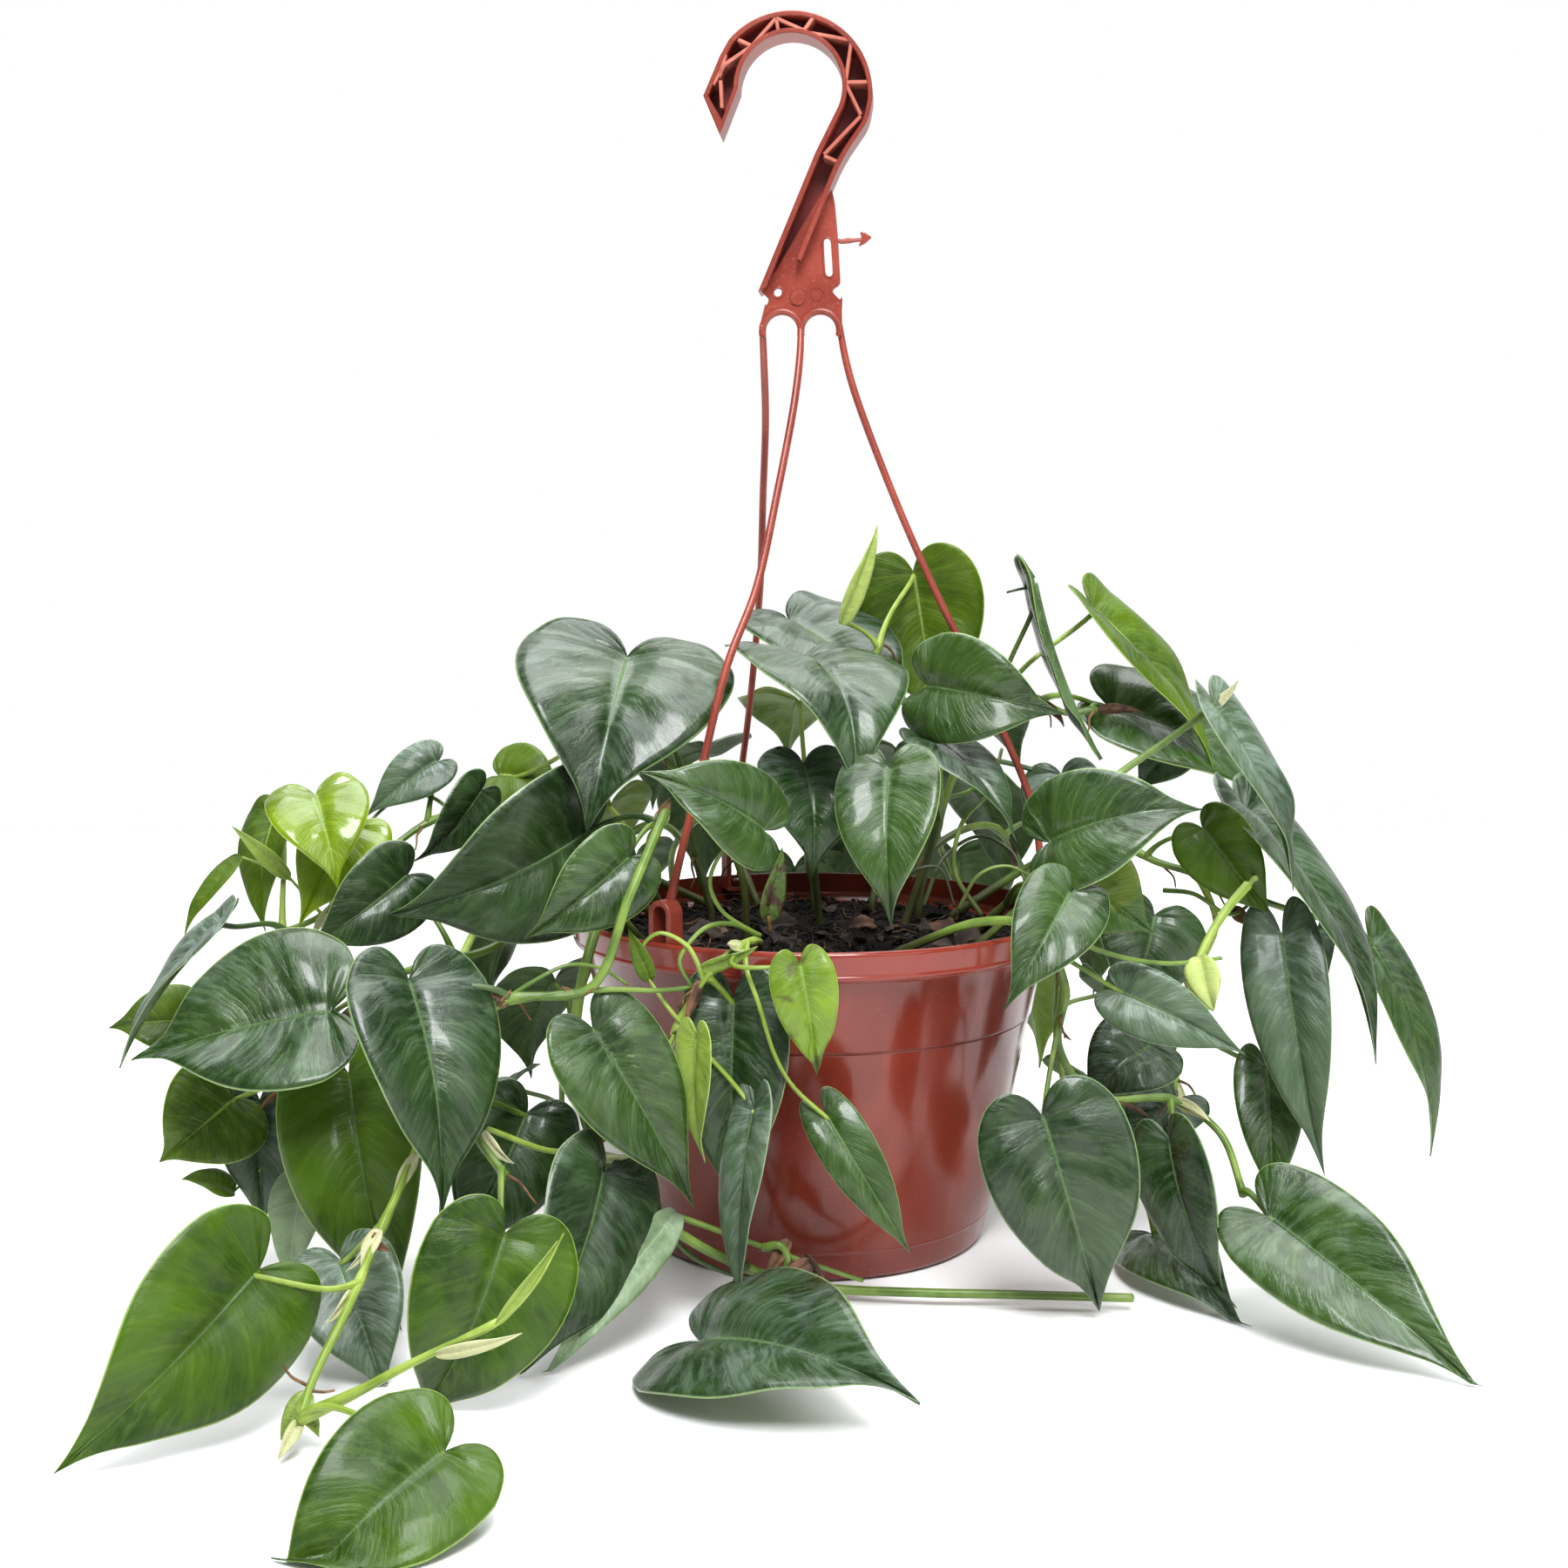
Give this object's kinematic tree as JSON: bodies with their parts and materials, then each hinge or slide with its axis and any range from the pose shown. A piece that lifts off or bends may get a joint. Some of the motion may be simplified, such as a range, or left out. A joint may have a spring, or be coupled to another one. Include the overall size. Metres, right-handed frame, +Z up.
{
  "type": "potted heartleaf philodendron",
  "caption": "Trailing heart-leaved houseplant in a round plastic pot of soil, with a clip-on three-strand hanger that ends in a hook.",
  "frame": {"origin": "centre of the flat foot under the pot, on the surface that it stands on", "axes": "+Z up; +X to the right and +Y away in the view from the front, which is the picture's view"},
  "size_m": [0.5507, 0.5047, 0.4926],
  "materials": {
    "pot_plastic": "glossy terracotta red",
    "hanger_plastic": "satin terracotta orange",
    "potting_mix": "coarse, dark, slightly damp mix of bark and peat",
    "leaf": "smooth waxy leaf, dark green, with lime young leaves and light green stems"
  },
  "bodies": {
    "root": {"pot": "pot_plastic", "hanger": "hanger_plastic", "soil": "potting_mix", "vine_crown_left": "leaf", "vine_crown_centre": "leaf", "vine_crown_right": "leaf", "vine_right_high": "leaf", "vine_right": "leaf", "vine_right_low": "leaf", "vine_right_side": "leaf", "vine_front": "leaf", "vine_front_left": "leaf", "vine_left": "leaf", "vine_left_high": "leaf", "vine_left_low": "leaf", "vine_trailing": "leaf", "vine_back_1": "leaf", "vine_back_2": "leaf", "vine_back_3": "leaf", "vine_back_4": "leaf", "vine_back_5": "leaf"}
  },
  "joints": []
}
